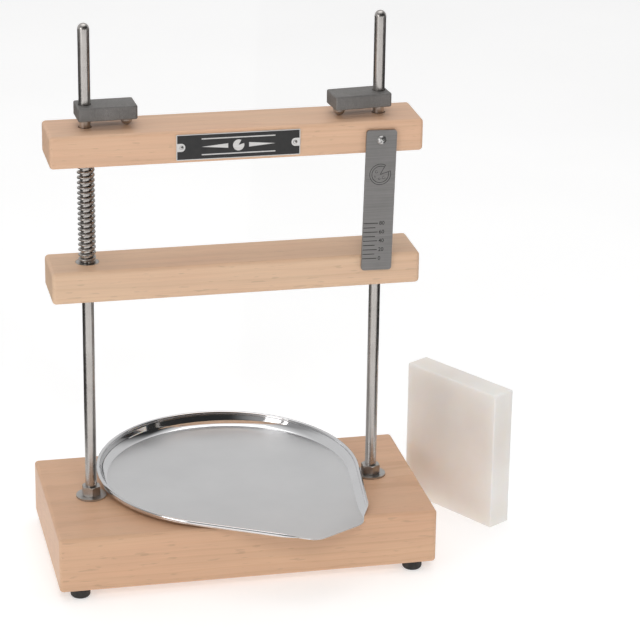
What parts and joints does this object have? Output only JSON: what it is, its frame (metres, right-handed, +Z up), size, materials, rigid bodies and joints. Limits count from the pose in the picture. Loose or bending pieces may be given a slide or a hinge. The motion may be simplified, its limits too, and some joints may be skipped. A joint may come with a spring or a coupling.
{
  "type": "cheese press",
  "caption": "Table-top cheese press: board base, steel rods, sprung hardwood crossbars, lever clamps, force gauge, drip tray and loose pressing block.",
  "frame": {"origin": "on the surface the press stands on, midway between the two rods", "axes": "+Z up along the rods, +X along the crossbars to the gauge side, -Y to the front"},
  "size_m": [0.4036, 0.2531, 0.465],
  "materials": {
    "maple": "satin lacquered hardwood, fine grain along its length",
    "stainless": "brushed",
    "spring_steel": "drawn wire, bright",
    "zinc_hardware": "plain, lightly tumbled",
    "cast_grey": "fine cast surface, dark grey",
    "tray_steel": "mirror polished wall and bead, satin floor",
    "plate_black": "black enamel with a silver border",
    "gauge_steel": "brushed, with etched marks",
    "rubber_black": "matte",
    "white_plastic": "translucent white, matte"
  },
  "bodies": {
    "stand": {"base_board": "maple", "foot_front_left": "rubber_black", "foot_front_right": "rubber_black", "foot_back_left": "rubber_black", "foot_back_right": "rubber_black", "foot_screws": "zinc_hardware", "rod_left": "stainless", "rod_right": "stainless", "base_washers": "zinc_hardware", "base_nuts": "zinc_hardware", "underside_washers": "zinc_hardware", "underside_nuts": "zinc_hardware"},
    "lower_bar": {"lower_crossbar": "maple", "lower_spring_washers": "zinc_hardware", "spring_left": "spring_steel", "spring_right": "spring_steel"},
    "upper_bar": {"upper_crossbar": "maple", "upper_spring_washers": "zinc_hardware", "nameplate": "plate_black", "nameplate_pins": "zinc_hardware", "gauge_spacer": "zinc_hardware", "gauge_screw": "zinc_hardware"},
    "gauge": {"gauge_plate": "gauge_steel"},
    "clamp_left": {"clamp_block_left": "cast_grey", "clamp_screw_left": "zinc_hardware"},
    "clamp_right": {"clamp_block_right": "cast_grey", "clamp_screw_right": "zinc_hardware"},
    "tray": {"drip_tray": "tray_steel"},
    "block": {"press_block": "white_plastic"}
  },
  "joints": [
    {"name": "lower_bar_slide", "type": "slide", "parent": "stand", "child": "lower_bar", "axis": [0, 0, 1], "range_m": [-0.14, 0.06]},
    {"name": "upper_bar_slide", "type": "slide", "parent": "lower_bar", "child": "upper_bar", "axis": [0, 0, 1], "range_m": [-0.03, 0], "stiffness_N_per_m": 11700, "springref_m": 0.001, "deforming": ["spring_left", "spring_right"]},
    {"name": "gauge_swing", "type": "hinge", "parent": "upper_bar", "child": "gauge", "pos_m": [0.117, -0.0254, 0.364], "axis": [0, 1, 0], "range_deg": [-10, 10]},
    {"name": "clamp_left_slide", "type": "slide", "parent": "upper_bar", "child": "clamp_left", "axis": [0, 0, 1], "range_m": [0, 0.1]},
    {"name": "clamp_right_slide", "type": "slide", "parent": "upper_bar", "child": "clamp_right", "axis": [0, 0, 1], "range_m": [0, 0.1]},
    {"name": "tray_slide", "type": "slide", "parent": "stand", "child": "tray", "axis": [0, -1, 0], "range_m": [0, 0.26]},
    {"name": "block_lift", "type": "slide", "parent": "stand", "child": "block", "axis": [0, 0, 1], "range_m": [0, 0.15]}
  ]
}
